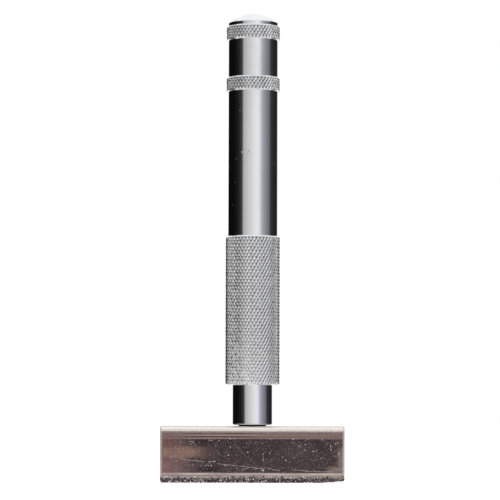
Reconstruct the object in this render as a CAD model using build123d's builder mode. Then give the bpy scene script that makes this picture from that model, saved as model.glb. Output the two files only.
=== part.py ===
from build123d import *
from math import cos, pi, radians, sin, tan
import os

# A hand-held diamond wheel dresser, in millimetres. It stands on its diamond
# layer: the origin is the middle of that resting face, the handle rises along
# +Z, the head's long side lies along X.

# Diamond layer under the head
layer_thickness = 1.65
layer_edge_radius = 0.5
worn_corner_length = 5.9
worn_corner_height = 0.45

# Head block: a short length of square bar
block_width = 44.5
block_depth = 12.0
block_height = 12.0
block_top_radius = 1.2
shoulder_height = 1.9
shoulder_setback = 0.15
lower_bevel_height = 0.75
lower_bevel_setback = 0.2
block_end_chamfer = 0.35

# Threaded joint between handle and head, its thread drawn as a plain cylinder
stud_diameter = 6.0
stud_end_chamfer = 0.6
thread_clearance = 0.05
hole_floor = 1.7
drill_point_angle = 118
stud_end_gap = 1.0

# Handle, from the head upwards
seat_width = 0.35
seat_height = 0.3
neck_diameter = 9.6
neck_cone_height = 0.5
neck_length = 9.15
grip_rise = 0.625
grip_length = 36.3
shaft_diameter = 12.0
shaft_length = 35.5
collar_rise = 0.55
collar_length = 3.5
collar_spacing = 9.1
tip_length = 0.85
dome_edge = 0.1
dome_height = 2.65

# Diamond knurl on the grip and the collars
knurl_pitch = 0.91
knurl_angle = 30
knurl_depth = 0.2
knurl_end_length = 0.35
knurl_end_rise = 0.1

# Heights worked out from the sizes above
block_bottom = layer_thickness
block_top = block_bottom + block_height
neck_cone_bottom = block_top + seat_height
neck_bottom = neck_cone_bottom + neck_cone_height
grip_bottom = neck_bottom + neck_length
grip_top = grip_bottom + grip_length
lower_collar_bottom = grip_top + shaft_length
lower_collar_top = lower_collar_bottom + collar_length
upper_collar_bottom = lower_collar_top + collar_spacing
upper_collar_top = upper_collar_bottom + collar_length
dome_bottom = upper_collar_top + tip_length
dome_top = dome_bottom + dome_height

# Radii and depths that follow from them
neck_radius = neck_diameter / 2
shaft_radius = shaft_diameter / 2
grip_radius = shaft_radius + grip_rise
collar_radius = shaft_radius + collar_rise
stud_radius = stud_diameter / 2
seat_radius = stud_radius + seat_width
hole_radius = stud_radius + thread_clearance
drill_point_height = hole_radius / tan(radians(drill_point_angle / 2))
hole_tip = block_bottom + hole_floor
hole_bottom = hole_tip + drill_point_height
stud_bottom = hole_bottom + stud_end_gap
dome_radius = shaft_radius - dome_edge
dome_curvature = (dome_radius**2 + dome_height**2) / (2 * dome_height)

os.makedirs("parts", exist_ok=True)


def knurl_ring(height, sides, even_radius, odd_radius):
    """Return the corners of one ring round the axis, radii taken in turn."""
    corners = []
    for side in range(sides):
        radius = odd_radius if side % 2 else even_radius
        angle = 2 * pi * side / sides
        corners.append(Vector(radius * cos(angle), radius * sin(angle), height))
    return corners


def knurled_band(bottom, top, tip_radius):
    """Return a solid band whose side is covered with four-sided pyramids.

    Two sets of V grooves wind round the band at the knurl's angle, one each
    way. They cross on every second corner of each ring, half a tooth further
    round on the next ring, and a pyramid's tip stands between four crossings.
    The first and last rings are plain, so the teeth run out in a chamfer.
    """
    groove_radius = tip_radius - knurl_depth
    end_radius = shaft_radius + knurl_end_rise
    teeth = round(2 * pi * tip_radius / knurl_pitch)
    half_tooth_height = knurl_pitch / tan(radians(knurl_angle)) / 2
    toothed_length = top - bottom - 2 * knurl_end_length
    rows = round(toothed_length / half_tooth_height)
    sides = 2 * teeth

    rings = [knurl_ring(bottom, sides, end_radius, end_radius)]
    for row in range(rows + 1):
        height = bottom + knurl_end_length + toothed_length * row / rows
        if row % 2:
            rings.append(knurl_ring(height, sides, groove_radius, tip_radius))
        else:
            rings.append(knurl_ring(height, sides, tip_radius, groove_radius))
    rings.append(knurl_ring(top, sides, end_radius, end_radius))

    faces = [Face(Wire.make_polygon(rings[0])), Face(Wire.make_polygon(rings[-1]))]
    for level, (low, high) in enumerate(zip(rings, rings[1:])):
        for side in range(sides):
            beside = (side + 1) % sides
            if (side + level) % 2:
                halves = (
                    (low[side], low[beside], high[side]),
                    (low[beside], high[beside], high[side]),
                )
            else:
                halves = (
                    (low[side], low[beside], high[beside]),
                    (low[side], high[beside], high[side]),
                )
            for corners in halves:
                faces.append(Face(Wire.make_polygon(corners)))
    return Solid(Shell(faces))


# Diamond layer: a plate under the whole head, its lower edges rounded by use,
# one corner worn away
with BuildPart() as diamond_layer:
    with BuildSketch(Plane.XY):
        Rectangle(block_width, block_depth)
    extrude(amount=layer_thickness)
    lower_edges = diamond_layer.faces().sort_by(Axis.Z)[0].edges()
    fillet(lower_edges, radius=layer_edge_radius)
    with BuildSketch(Plane.XZ.offset(-block_depth / 2)):
        with BuildLine():
            Polyline(
                (block_width / 2 - worn_corner_length, 0),
                (block_width / 2, 0),
                (block_width / 2, worn_corner_height),
                close=True,
            )
        make_face()
    extrude(amount=block_depth, mode=Mode.SUBTRACT)
diamond_layer.part.label = "diamond_layer"
export_step(diamond_layer.part, "parts/diamond_layer.step")


# Head block: the bar's section drawn across and drawn out along its length
with BuildPart() as head_block:
    with BuildSketch(Plane.YZ.offset(-block_width / 2)):
        with BuildLine():
            front = block_depth / 2
            shoulder = front - shoulder_setback
            Polyline(
                (0, block_bottom),
                (front - lower_bevel_setback, block_bottom),
                (front, block_bottom + lower_bevel_height),
                (front, block_top - block_top_radius - shoulder_height),
                (shoulder, block_top - block_top_radius),
            )
            TangentArc(
                (shoulder, block_top - block_top_radius),
                (shoulder - block_top_radius, block_top),
                tangent=(0, 1),
            )
            Line((shoulder - block_top_radius, block_top), (0, block_top))
            mirror(about=Plane.YZ)
        make_face()
    extrude(amount=block_width)
    end_edges = head_block.faces().filter_by(Axis.X).edges()
    chamfer(end_edges, length=block_end_chamfer)
    with BuildSketch(Plane.XZ):
        with BuildLine():
            Polyline(
                (0, hole_tip),
                (hole_radius, hole_bottom),
                (hole_radius, block_top),
                (0, block_top),
                close=True,
            )
        make_face()
    revolve(axis=Axis.Z, mode=Mode.SUBTRACT)
head_block.part.label = "head_block"
export_step(head_block.part, "parts/head_block.step")


# Handle: one bar, turned to its profile, then knurled on the grip and collars
bands = [
    knurled_band(lower_collar_bottom, lower_collar_top, collar_radius),
    knurled_band(upper_collar_bottom, upper_collar_top, collar_radius),
    knurled_band(grip_bottom, grip_top, grip_radius),
]
with BuildPart() as handle:
    with BuildSketch(Plane.XZ):
        with BuildLine():
            Polyline(
                (0, stud_bottom),
                (stud_radius - stud_end_chamfer, stud_bottom),
                (stud_radius, stud_bottom + stud_end_chamfer),
                (stud_radius, block_top),
                (seat_radius, block_top),
                (seat_radius, neck_cone_bottom),
                (neck_radius, neck_bottom),
                (neck_radius, grip_bottom),
                (0, grip_bottom),
                close=True,
            )
        make_face()
        with BuildLine():
            Polyline(
                (0, grip_top),
                (shaft_radius, grip_top),
                (shaft_radius, lower_collar_bottom),
                (0, lower_collar_bottom),
                close=True,
            )
        make_face()
        with BuildLine():
            Polyline(
                (0, lower_collar_top),
                (shaft_radius, lower_collar_top),
                (shaft_radius, upper_collar_bottom),
                (0, upper_collar_bottom),
                close=True,
            )
        make_face()
        with BuildLine():
            Polyline(
                (0, upper_collar_top),
                (shaft_radius, upper_collar_top),
                (shaft_radius, dome_bottom),
                (dome_radius, dome_bottom),
            )
            RadiusArc((dome_radius, dome_bottom), (0, dome_top), -dome_curvature)
            Line((0, dome_top), (0, upper_collar_top))
        make_face()
    revolve(axis=Axis.Z)
    for band in bands:
        add(band, clean=False)
handle.part.label = "handle"
export_step(handle.part, "parts/handle.step")
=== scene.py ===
import logging
import math
from collections.abc import Callable
from dataclasses import dataclass, field
from enum import Enum
from functools import reduce

import bpy
import numpy as np
from mathutils import Matrix, Vector


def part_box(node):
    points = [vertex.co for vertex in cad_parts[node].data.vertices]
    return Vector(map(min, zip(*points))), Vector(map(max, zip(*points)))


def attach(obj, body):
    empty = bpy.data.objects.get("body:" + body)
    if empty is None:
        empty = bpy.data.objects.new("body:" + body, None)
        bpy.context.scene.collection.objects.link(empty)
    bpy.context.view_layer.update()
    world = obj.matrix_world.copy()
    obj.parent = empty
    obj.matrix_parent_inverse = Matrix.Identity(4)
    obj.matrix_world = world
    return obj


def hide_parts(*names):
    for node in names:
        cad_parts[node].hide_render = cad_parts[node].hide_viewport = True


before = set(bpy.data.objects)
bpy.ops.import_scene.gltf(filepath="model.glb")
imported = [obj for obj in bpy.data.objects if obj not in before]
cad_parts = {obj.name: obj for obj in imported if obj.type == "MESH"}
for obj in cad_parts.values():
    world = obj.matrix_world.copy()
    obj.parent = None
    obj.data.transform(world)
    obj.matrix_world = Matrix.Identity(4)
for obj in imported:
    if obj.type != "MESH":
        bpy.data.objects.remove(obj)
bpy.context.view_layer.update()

# A diamond wheel dresser: a plated, knurled handle standing upright on a short steel bar that is
# faced underneath with diamond grit. Sizes are in millimetres and angles in degrees, unless a
# docstring says otherwise.

MM = 0.001
TOUCH = 1e-6
BODY = "root"
log = logging.getLogger("dresser")


class Slot(Enum):
    """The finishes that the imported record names."""

    PLATE = "plated_steel"
    WORN_PLATE = "worn_plated_steel"
    GRIT = "diamond_grit"


class Shader(Enum):
    """The shaders that a material can end in."""

    PRINCIPLED = "ShaderNodeBsdfPrincipled"
    EMISSION = "ShaderNodeEmission"


class Mark(Enum):
    """The numbers that a vertex can carry for its material to read."""

    GROOVE = "groove"
    TONE = "tone"
    GRAIN = "grain"
    GLOW = "glow"
    TINT = "tint"


def each(kind: type, *values: tuple) -> tuple:
    """Make one object of that kind from each tuple of values."""
    return tuple(kind(*value) for value in values)


# Shader maths


def maths(operation: str, flipped: bool = False) -> Callable[..., "Shade"]:
    """Make a method of Shade.

    Args:
        operation: what the Math node does.
        flipped: whether the other value comes first.

    Returns:
        A method that adds a Math node on the shade and another value.
    """

    def method(shade: "Shade", other: "Shade | float" = 0.0) -> "Shade":
        """Add the Math node."""
        pair = (other, shade) if flipped else (shade, other)
        return shade.bench.math(operation, *pair)

    return method


class Shade:
    """One output socket of a material, usable in plain arithmetic."""

    def __init__(self, bench: "Bench", socket: bpy.types.NodeSocket) -> None:
        """Keep the socket and the bench that adds nodes behind it."""
        self.bench = bench
        self.socket = socket

    __add__ = __radd__ = maths("ADD")
    __sub__ = maths("SUBTRACT")
    __rsub__ = maths("SUBTRACT", flipped=True)
    __mul__ = __rmul__ = maths("MULTIPLY")
    __truediv__ = maths("DIVIDE")
    __pow__ = maths("POWER")
    absolute = maths("ABSOLUTE")
    at_least = maths("MAXIMUM")
    at_most = maths("MINIMUM")

    def rise(self, low: float, high: float) -> "Shade":
        """Return a soft step.

        Args:
            low: the value where the step starts from 0.
            high: the value where it reaches 1. Where low is above high, the step falls instead.

        Returns:
            0 before low, 1 past high and a smooth curve between them.
        """
        falls = low > high
        ends = {1: min(low, high), 2: max(low, high), 3: float(falls), 4: float(not falls)}
        settings = {"interpolation_type": "SMOOTHSTEP"}
        return self.bench.node("ShaderNodeMapRange", settings, {0: self, **ends})


class Bench:
    """The node tree of one material and the methods that add nodes to it."""

    def __init__(self, name: str) -> None:
        """Start an empty material of that name."""
        self.material = bpy.data.materials.new(name)
        self.material.use_nodes = True
        self.tree = self.material.node_tree
        self.tree.nodes.clear()
        self.sink = self.tree.nodes.new("ShaderNodeOutputMaterial")

    def node(self, kind: str, settings: dict | None = None, sockets: dict | None = None,
             out: int | str = 0) -> Shade:
        """Add one node.

        Args:
            kind: the node's type.
            settings: what is set on the node itself.
            sockets: a value or a Shade for each input, by its name or number.
            out: which output to give back.

        Returns:
            The chosen output.
        """
        made = self.tree.nodes.new(kind)
        for key, value in (settings or {}).items():
            setattr(made, key, value)
        for key, value in (sockets or {}).items():
            if isinstance(value, Shade):
                self.tree.links.new(value.socket, made.inputs[key])
            else:
                made.inputs[key].default_value = value
        return Shade(self, made.outputs[out])

    def math(self, operation: str, first: "Shade | float", second: "Shade | float") -> Shade:
        """Add a Math node for that operation on two values."""
        return self.node("ShaderNodeMath", {"operation": operation}, {0: first, 1: second})

    def place(self) -> Shade:
        """Where a point lies on the object, in metres."""
        return self.node("ShaderNodeTexCoord", out="Object")

    def parts(self, vector: Shade) -> list[Shade]:
        """Split a vector into x, y and z."""
        split = self.node("ShaderNodeSeparateXYZ", sockets={0: vector})
        return [Shade(self, output) for output in split.socket.node.outputs]

    def mark(self, mark: Mark) -> Shade:
        """Read a number that the mesh carries."""
        return self.node("ShaderNodeAttribute", {"attribute_name": mark.value}, out="Fac")

    def noise(self, place: Shade, size: float, detail: float, rough: float = 0.5,
              squeeze: tuple | None = None) -> Shade:
        """Add a cloudy noise.

        Args:
            place: where to look.
            size: how far apart its clouds lie, in mm.
            detail: how many finer noises lie over it.
            rough: how strong these are.
            squeeze: what the place is scaled by first, to draw the clouds out.

        Returns:
            The noise, about 0.5 in the mean.
        """
        if squeeze is not None:
            place = self.node("ShaderNodeMapping", sockets={"Vector": place, "Scale": squeeze})
        sockets = {"Vector": place, "Scale": 1 / (size * MM), "Detail": detail, "Roughness": rough}
        return self.node("ShaderNodeTexNoise", sockets=sockets)

    def cells(self, place: Shade, spacing: float) -> tuple[Shade, Shade]:
        """Scatter points at random.

        Args:
            place: where to look.
            spacing: how far apart the points lie, in mm.

        Returns:
            The distance to the nearest point, counted in spacings, and that point's own number.
        """
        sockets = {"Vector": place, "Scale": 1 / (spacing * MM)}
        near = self.node("ShaderNodeTexVoronoi", sockets=sockets)
        return near, self.parts(Shade(self, near.socket.node.outputs["Color"]))[0]

    def ramp(self, value: Shade, stops: tuple) -> Shade:
        """Turn a number into a colour.

        Args:
            value: the number.
            stops: pairs of a number and the colour there, in rising order.

        Returns:
            The colour.
        """
        colour = self.node("ShaderNodeValToRGB", sockets={0: value})
        elements = colour.socket.node.color_ramp.elements
        while len(elements) < len(stops):
            elements.new(1.0)
        for element, (position, tint) in zip(elements, stops):
            element.position = position
            element.color = (*tint, 1.0)
        return colour

    def blend(self, share: "Shade | float", first: "Shade | tuple", second: "Shade | tuple",
              how: str = "MIX", clamp: bool = True) -> Shade:
        """Mix two colours.

        Args:
            share: how much of the second colour there is.
            first: the colour where the share is 0.
            second: the colour where the share is 1.
            how: the way of mixing.
            clamp: whether the share is kept between 0 and 1.

        Returns:
            The mixed colour.
        """
        settings = {"data_type": "RGBA", "blend_type": how, "clamp_factor": clamp}
        ends = [end if isinstance(end, Shade) else (*end, 1.0) for end in (first, second)]
        return self.node("ShaderNodeMix", settings, {0: share, 6: ends[0], 7: ends[1]}, out=2)

    def bump(self, height: Shade, depth: float, strength: float = 1.0,
             under: Shade | None = None) -> Shade:
        """Turn a height into a normal.

        Args:
            height: the height, in shares of the depth.
            depth: the full height, in metres.
            strength: how much of it is used.
            under: a bump that this one lies on.

        Returns:
            The bent normal.
        """
        sockets = {"Height": height, "Distance": depth, "Strength": strength}
        if under is not None:
            sockets["Normal"] = under
        return self.node("ShaderNodeBump", sockets=sockets)

    def surface(self, shader: Shader, **sockets: "Shade | float | tuple") -> bpy.types.Material:
        """Finish the material.

        Args:
            shader: the shader that it ends in.
            sockets: the shader's inputs, named with _ for each space.

        Returns:
            The finished material.
        """
        named = {key.replace("_", " "): value for key, value in sockets.items()}
        last = self.node(shader.value, sockets=named)
        self.tree.links.new(last.socket, self.sink.inputs["Surface"])
        return self.material


# Meshes


class Draft:
    """A mesh in the making: its points in millimetres, its faces and its marks."""

    def __init__(self) -> None:
        """Start with nothing."""
        self.points: list[np.ndarray] = []
        self.faces: list[np.ndarray] = []
        self.marks: dict[Mark, list[np.ndarray]] = {}
        self.count = 0

    def add_points(self, points: np.ndarray, marks: dict | None = None) -> np.ndarray:
        """Add points.

        Args:
            points: an array whose last axis is x, y, z.
            marks: one number for each point under each mark's name.

        Returns:
            The points' numbers, in the shape of the array.
        """
        shape = points.shape[:-1]
        total = int(np.prod(shape))
        for mark, values in (marks or {}).items():
            known = self.marks.setdefault(mark, [np.zeros(self.count)] if self.count else [])
            known.append(np.broadcast_to(values, shape).reshape(-1))
        for mark, known in self.marks.items():
            if mark not in (marks or {}):
                known.append(np.zeros(total))
        self.points.append(points.reshape(-1, 3))
        numbers = np.arange(self.count, self.count + total).reshape(shape)
        self.count += total
        return numbers

    def add_faces(self, corners: np.ndarray) -> None:
        """Add faces that all have as many corners, one row of point numbers each."""
        self.faces.append(np.asarray(corners, dtype=np.int64))

    def add_tube(self, rings: np.ndarray, keep: np.ndarray | slice = slice(None)) -> None:
        """Join rings of equally many points with four-sided faces, round and back to the start.

        Args:
            rings: the points' numbers, one row for each ring.
            keep: which of the faces are made.
        """
        after = np.roll(rings, -1, axis=1)
        corners = np.stack([rings[:-1], after[:-1], after[1:], rings[1:]], axis=-1)
        self.add_faces(corners[keep].reshape(-1, 4))

    def add_lattice(self, rings: np.ndarray, rows: np.ndarray, cells: int) -> None:
        """Join rings with triangles whose long sides follow two sets of crossing grooves.

        A face's column and row in the lattice of half teeth are its own divided by the cells. Where
        their sum is even its diagonal leans one way, and where it is odd the other way.

        Args:
            rings: the points' numbers, one row for each ring.
            rows: each ring's height, counted in half teeth.
            cells: how many columns there are in half a tooth.
        """
        after = np.roll(rings, -1, axis=1)
        a, b, c, d = (part.reshape(-1) for part in (rings[:-1], after[:-1], after[1:], rings[1:]))
        level = np.floor((rows[:-1] + rows[1:]) / 2).astype(int)
        column = np.arange(rings.shape[1]) // cells
        odd = ((level[:, None] + column) % 2).reshape(-1).astype(bool)
        for pick, triangles in ((odd, ((a, b, d), (b, c, d))), (~odd, ((a, b, c), (a, c, d)))):
            for corners in triangles:
                self.add_faces(np.stack(corners, axis=1)[pick])

    def add_bridge(self, first: np.ndarray, second: np.ndarray, first_turns: np.ndarray,
                   second_turns: np.ndarray) -> None:
        """Join two rings that may differ in their number of points.

        Each side of either ring makes one triangle. Its third corner is the point of the other ring
        beside the side's middle, found by counting the other ring's middles that come before it.

        Args:
            first: the point numbers of the ring that comes first, anticlockwise.
            second: those of the ring that comes next.
            first_turns: where the first ring's points lie, as a rising share of a whole turn.
            second_turns: the same for the second ring.
        """
        middles = [(t + np.append(t[1:], t[0] + 1)) / 2 for t in (first_turns, second_turns)]
        at_second = np.searchsorted(middles[1], middles[0], side="left") % len(second)
        at_first = np.searchsorted(middles[0], middles[1], side="right") % len(first)
        self.add_faces(np.stack([first, np.roll(first, -1), second[at_second]], axis=1))
        self.add_faces(np.stack([np.roll(second, -1), second, first[at_first]], axis=1))

    def add_fan(self, ring: np.ndarray, centre: tuple, first: bool = False,
                marks: dict[Mark, float] | None = None) -> None:
        """Close a ring with triangles that meet in one point.

        Args:
            ring: the ring's point numbers, anticlockwise.
            centre: where they meet.
            first: whether the fan closes the start of a tube and not its end.
            marks: the numbers that the point carries.
        """
        middle = np.broadcast_to(self.add_points(np.array([centre]), marks), ring.shape)
        after = np.roll(ring, -1)
        pair = (after, ring) if first else (ring, after)
        self.add_faces(np.stack([middle, *pair], axis=1))

    def finish(self, name: str, material: bpy.types.Material, sharp: float) -> bpy.types.Object:
        """Make the object.

        Args:
            name: the piece's name.
            material: its one material.
            sharp: edges that bend by more than this many degrees stay sharp.

        Returns:
            The object, at the origin, in metres.
        """
        mesh = bpy.data.meshes.new(name)
        points = np.concatenate(self.points) * MM
        corners = np.concatenate([face.reshape(-1) for face in self.faces])
        sizes = np.concatenate([np.full(len(face), face.shape[1]) for face in self.faces])
        mesh.vertices.add(len(points))
        mesh.vertices.foreach_set("co", points.astype(np.float32).reshape(-1))
        mesh.loops.add(len(corners))
        mesh.loops.foreach_set("vertex_index", corners)
        mesh.polygons.add(len(sizes))
        mesh.polygons.foreach_set("loop_start", np.cumsum(sizes) - sizes)
        for mark, values in self.marks.items():
            attribute = mesh.attributes.new(mark.value, "FLOAT", "POINT")
            attribute.data.foreach_set("value", np.concatenate(values).astype(np.float32))
        mesh.update(calc_edges=True)
        mesh.validate()
        mesh.shade_smooth()
        mesh.set_sharp_from_angle(angle=math.radians(sharp))
        mesh.materials.append(material)
        made = bpy.data.objects.new(name, mesh)
        bpy.context.scene.collection.objects.link(made)
        return made


def turns(count: int) -> np.ndarray:
    """Evenly spaced shares of a whole turn."""
    return np.arange(count) / count


def rounded(corners: list[tuple[float, float, float]], steps: int) -> np.ndarray:
    """Round the corners of an open outline.

    The first and last corner stay. At each other corner an arc of the given radius touches both
    sides: it starts and ends at radius times the tangent of half the turn before and after the
    corner. Its points lie at even angles about its centre, which is on the corner's bisector. One
    more point on each side, a third of the radius away, keeps the shading of the sides straight.

    Args:
        corners: two coordinates and a radius for each corner.
        steps: how many pieces each arc has.

    Returns:
        The outline's points.
    """
    outline = [np.array(corners[0][:2])]
    for before, corner, after in zip(corners, corners[1:], corners[2:]):
        point, radius = np.array(corner[:2]), corner[2]
        if radius == 0:
            outline.append(point)
            continue
        sides = [np.array(other[:2]) - point for other in (before, after)]
        back, ahead = (side / np.linalg.norm(side) for side in sides)
        half = math.acos(max(-1.0, min(1.0, float(back @ ahead)))) / 2
        centre = point + (back + ahead) / np.linalg.norm(back + ahead) * radius / math.sin(half)
        start = point + back * radius / math.tan(half) - centre
        end = point + ahead * radius / math.tan(half) - centre
        sweep = math.pi - 2 * half
        share = np.linspace(0, 1, steps + 1)[:, None]
        arc = start * np.sin((1 - share) * sweep) + end * np.sin(share * sweep)
        outline.append(centre + start + back * radius / 3)
        outline.extend(centre + arc / math.sin(sweep))
        outline.append(centre + end + ahead * radius / 3)
    outline.append(np.array(corners[-1][:2]))
    return np.array(outline)


def section(half: list, steps: int, spacing: float) -> np.ndarray:
    """Make a bar's section.

    Args:
        half: the corners of its front half with a radius each, from the top round to the bottom.
        steps: how many pieces each rounded corner has.
        spacing: how far two points in a row may lie apart.

    Returns:
        The points round the whole section. The back mirrors the front.
    """
    outline = rounded(half, steps)
    lengths = np.linalg.norm(np.diff(outline, axis=0), axis=1)
    parts = np.maximum(1, np.ceil(lengths / spacing).astype(int))
    whole = np.concatenate([[0], np.cumsum(parts)])
    index = np.arange(whole[-1] + 1)
    front = np.stack([np.interp(index, whole, outline[:, axis]) for axis in (0, 1)], axis=1)
    return np.concatenate([front, front[::-1][1:] * (-1.0, 1.0)])


def stations(half: float, radius: float, count: int, steps: int) -> tuple[np.ndarray, np.ndarray]:
    """Share out sections along a bar with rounded ends.

    Args:
        half: half the bar's length.
        radius: how large the rounding is.
        count: how many sections lie between the rounded ends.
        steps: how many more each end has.

    Returns:
        Where each section lies, and how far the rounding draws it in: the radius less the height
        of a circle's arc there.
    """
    curve = radius * (1 - np.cos(np.linspace(0, math.pi / 2, steps + 1)[:-1]))
    straight = np.linspace(radius - half, half - radius, count)
    places = np.concatenate([curve - half, straight, (half - curve)[::-1]])
    past = np.clip(np.abs(places) - (half - radius), 0, None)
    return places, radius - np.sqrt(np.clip(radius**2 - past**2, 0, None))


@dataclass(frozen=True)
class Ripple:
    """A smooth random field: the mean of plane waves in random directions with random phases."""

    seed: int
    length: float
    waves: int = 24

    def at(self, points: np.ndarray) -> np.ndarray:
        """Return the field at points.

        Args:
            points: an array whose last axis is x, y, z in mm.

        Returns:
            One number for each point, about between -1 and 1.
        """
        rng = np.random.default_rng(self.seed)
        ways = rng.normal(size=(self.waves, 3))
        ways *= 2 * math.pi / (self.length * np.linalg.norm(ways, axis=1, keepdims=True))
        ways *= rng.uniform(0.7, 1.4, size=(self.waves, 1))
        phases = rng.uniform(0, 2 * math.pi, size=self.waves)
        return np.sin(points @ ways.T + phases).sum(axis=-1) / math.sqrt(self.waves)


# Finishes


@dataclass(frozen=True)
class Fleck:
    """A small mark in the plating, seen from the front.

    Attributes:
        x, z: its middle, in mm.
        wide, high: half its width and height, in mm.
    """

    x: float
    z: float
    wide: float = 0.16
    high: float = 0.13

    def at(self, x: Shade, z: Shade, fine: Shade) -> Shade:
        """Return the mark's share at a place: 1 within an ellipse that a fine noise frays."""
        across, up = (x - self.x) / self.wide, (z - self.z) / self.high
        return (across * across + up * up + (fine - 0.5) * 2.4).rise(1.0, 0.1)


@dataclass(frozen=True)
class BrightPlate:
    """Bright plating on turned steel: a mirror with faint turning lines and smears, with soiling
    and painted shade in the knurl's grooves and a painted shadow at the seat.

    Attributes:
        line_depth: how deep the turning lines are, in metres.
        specks_end: the height where the specks stop, below the dome.
        pits: the dark marks on the shaft's front.
        nicks: the dull ones.
    """

    name: str = "bright_plate"
    metal: tuple = (0.86, 0.86, 0.87)
    smeared: tuple = (0.80, 0.80, 0.81)
    # The dark colour of the pits and soiled grooves, and of the painted shade in the grooves and at
    # the seat
    grime_and_shade: tuple = (0.03, 0.028, 0.026)
    gloss: float = 0.035
    smear_gloss: float = 0.085
    tooth_gloss: float = 0.04
    line_size: float = 0.12
    line_depth: float = 0.25e-6
    smear_size: float = 9
    speck_spacing: float = 5.5
    specks_end: tuple = (112.4, 112.2)
    fray_size: float = 0.2
    pits: tuple = each(
        Fleck, (-1.62, 80.8, 0.13, 0.10), (-1.18, 80.3, 0.12, 0.09), (-0.92, 80.4, 0.14, 0.15),
        (-1.30, 79.7, 0.12, 0.15), (-0.66, 80.0, 0.16, 0.11),
    )
    nicks: tuple = each(
        Fleck, (-2.70, 80.1, 0.15, 0.40), (-3.2, 90.3, 0.10, 0.08), (-4.0, 78.5, 0.07, 0.09),
        (-4.9, 67.3, 0.08, 0.08), (-4.3, 72.8, 0.10, 0.06), (5.2, 77.6, 0.08, 0.12),
    )

    def make(self) -> bpy.types.Material:
        """Lay smears and specks over the metal, darken the groove bottoms with soiling and painted
        shade, and paint the shadow of the gap at the seat.

        Returns:
            The finished material.
        """
        bench = Bench(self.name)
        place = bench.place()
        x, y, z = bench.parts(place)
        x, front, z = x / MM, y.rise(0.0, -0.1 * MM), z / MM
        groove = bench.mark(Mark.GROOVE)
        toothed = groove.rise(0.0, 0.02)
        lines = bench.noise(place, self.line_size, 3.0, squeeze=(0.02, 0.02, 1.0))
        smears = bench.noise(place, self.smear_size, 4.0, 0.6, (1, 1, 0.45)).rise(0.48, 0.72)
        fray = bench.noise(place, self.fray_size, 1.0)
        near, pick = bench.cells(place, self.speck_spacing)
        specks = near.rise(0.045, 0.02) * pick.rise(0.70, 0.72)
        specks = specks * (1 - toothed) * z.rise(*self.specks_end)
        pits = [pit.at(x, z, fray) * front for pit in self.pits]
        specks = reduce(Shade.at_least, pits, specks)
        nicked = reduce(Shade.at_least, [nick.at(x, z, fray) for nick in self.nicks]) * front
        # Darker groove bottoms: soiling and painted shade in the knurl's grooves; groove mark 2 at
        # the seat is a painted shadow of the gap under the neck
        groove_dirt_and_shade = groove.rise(0.72, 1.0) * 0.7 + groove.rise(1.5, 2.0) * 0.3
        colour = bench.blend(smears, self.metal, self.smeared)
        colour = bench.blend(specks * 0.75, colour, self.grime_and_shade)
        colour = bench.blend(groove_dirt_and_shade, colour, self.grime_and_shade)
        rough = self.gloss + smears * (self.smear_gloss - self.gloss) + toothed * self.tooth_gloss
        rough = rough + specks * 0.3 + groove_dirt_and_shade * 0.2 + nicked * 0.6
        return bench.surface(Shader.PRINCIPLED, Base_Color=colour, Metallic=1.0,
                             Roughness=rough.at_most(0.8),
                             Normal=bench.bump(lines, self.line_depth))


@dataclass(frozen=True)
class Patch:
    """A stain on the bar.

    Attributes:
        x, z: its middle, in mm.
        wide, high: half its width and height, in mm.
        colour: its tint.
        share: how strong it is in the middle.
        ragged: how far its outline strays, in shares of its size.
    """

    x: float
    z: float
    wide: float
    high: float
    colour: tuple
    share: float
    ragged: float = 1.1

    def at(self, x: Shade, z: Shade, cloud: Shade) -> Shade:
        """Return how strong the stain is at a place.

        Args:
            x, z: the place on the bar, in mm.
            cloud: the noise that makes its edge ragged.

        Returns:
            The whole share in its middle, fading out over a rounded outline.
        """
        across, up = (x - self.x) / self.wide, (z - self.z) / self.high
        away = ((across * across) ** 1.5 + (up * up) ** 1.5) ** 0.333 + (cloud - 0.5) * self.ragged
        return away.rise(1.25, 0.85 - 0.3 * self.ragged) * self.share


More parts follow.
